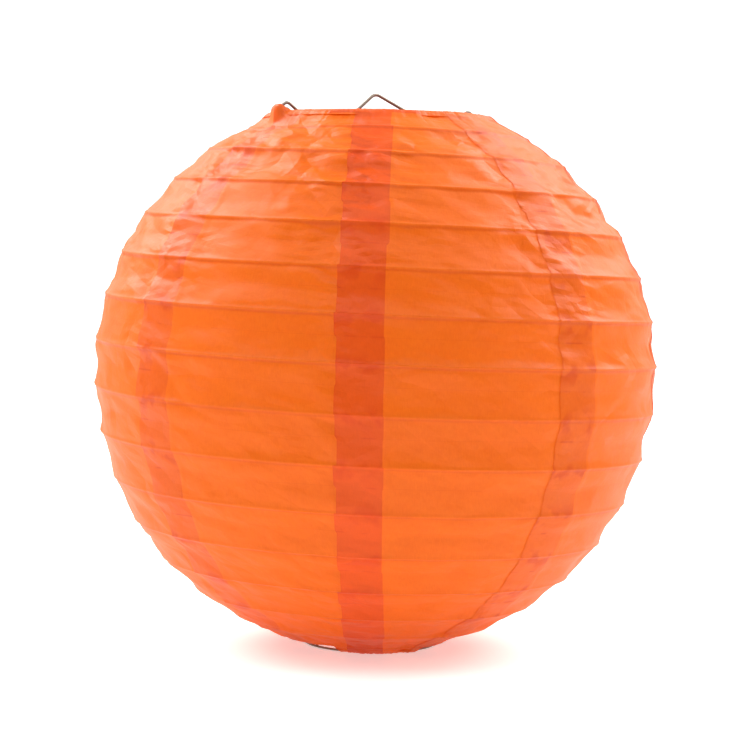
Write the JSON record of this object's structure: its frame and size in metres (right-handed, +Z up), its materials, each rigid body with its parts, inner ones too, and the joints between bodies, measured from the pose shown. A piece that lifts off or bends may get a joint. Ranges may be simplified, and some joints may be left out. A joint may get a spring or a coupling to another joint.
{
  "type": "paper lantern",
  "caption": "Round paper lantern: lapped paper gores over a spiral wire rib, with a wire ring at each mouth and a bent-wire expander that arches up in the middle to hang from.",
  "frame": {"origin": "on the lantern's axis, level with the underside of the bottom ring, which is what it stands on", "axes": "+Z up along the lantern's axis; +X along the plane of the wire expander, towards the straighter flank of its hanging arch"},
  "size_m": [0.2994, 0.2994, 0.2962],
  "materials": {
    "orange_paper": "thin translucent dyed tissue, matt with a faint fibre sheen",
    "rib_wire": "thin drawn steel wire, dull",
    "ring_wire": "drawn steel wire, dull grey-brown",
    "expander_wire": "drawn steel wire, dull grey-brown with a soft shine"
  },
  "bodies": {
    "shade": {"paper_gore_1": "orange_paper", "paper_gore_2": "orange_paper", "paper_gore_3": "orange_paper", "paper_gore_4": "orange_paper", "paper_gore_5": "orange_paper", "paper_gore_6": "orange_paper", "paper_gore_7": "orange_paper", "paper_gore_8": "orange_paper", "spiral_rib": "rib_wire", "bottom_ring": "ring_wire"},
    "top_rim": {"top_ring": "ring_wire"},
    "expander": {"wire_expander": "expander_wire"}
  },
  "joints": [
    {"name": "collapse", "type": "slide", "parent": "shade", "child": "top_rim", "axis": [0, 0, -1], "range_m": [0, 0.264], "deforming": ["paper_gore_1", "paper_gore_2", "paper_gore_3", "paper_gore_4", "paper_gore_5", "paper_gore_6", "paper_gore_7", "paper_gore_8", "spiral_rib"]},
    {"name": "expander_lift", "type": "slide", "parent": "shade", "child": "expander", "axis": [0, 0, 1], "range_m": [0, 0.3]}
  ]
}
